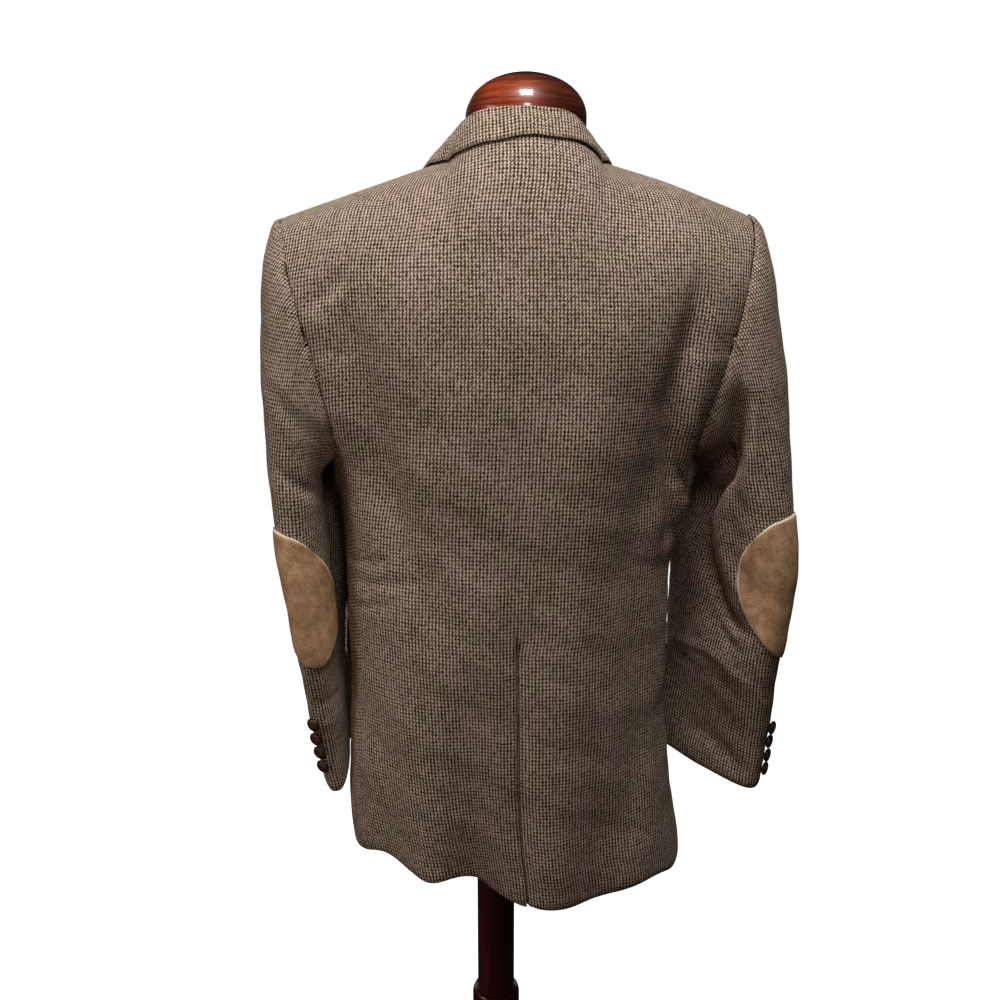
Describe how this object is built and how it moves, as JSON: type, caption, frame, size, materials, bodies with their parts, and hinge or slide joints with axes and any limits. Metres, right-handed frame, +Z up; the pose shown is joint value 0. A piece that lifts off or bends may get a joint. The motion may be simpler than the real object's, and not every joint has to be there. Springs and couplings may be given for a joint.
{
  "type": "tweed hacking jacket on a limbless dress form",
  "caption": "Single-breasted tweed jacket with suede elbow patches and a centre vent, worn by a limbless dress form on a turned wooden pole with a round base.",
  "frame": {"origin": "centre of the underside of the round base, on the floor", "axes": "+Z up along the pole, -Y out of the jacket's front, +X towards the wearer's left"},
  "size_m": [0.5409, 0.38, 1.6098],
  "materials": {
    "tweed": "woven wool tweed, small tan and dark brown check, brushed nap",
    "suede": "tan suede with a cut edge, stitched on",
    "button_leather": "woven brown leather football buttons, half gloss",
    "form_jersey": "cream cotton jersey over padding",
    "mahogany": "red-brown mahogany, polished and lacquered"
  },
  "bodies": {
    "root": {"back_left": "tweed", "back_right": "tweed", "collar": "tweed", "cuff_button_left_1": "button_leather", "cuff_button_left_2": "button_leather", "cuff_button_left_3": "button_leather", "cuff_button_left_4": "button_leather", "cuff_button_right_1": "button_leather", "cuff_button_right_2": "button_leather", "cuff_button_right_3": "button_leather", "cuff_button_right_4": "button_leather", "elbow_patch_left": "suede", "elbow_patch_right": "suede", "front_button_1": "button_leather", "front_button_2": "button_leather", "front_left": "tweed", "front_right": "tweed", "lapel_left": "tweed", "lapel_right": "tweed", "neck_cap": "mahogany", "pocket_flap_left": "tweed", "pocket_flap_right": "tweed", "pole": "mahogany", "pole_base": "mahogany", "pole_ring": "mahogany", "side_left": "tweed", "side_right": "tweed", "sleeve_top_left": "tweed", "sleeve_top_right": "tweed", "sleeve_under_left": "tweed", "sleeve_under_right": "tweed", "torso_form": "form_jersey"}
  },
  "joints": []
}
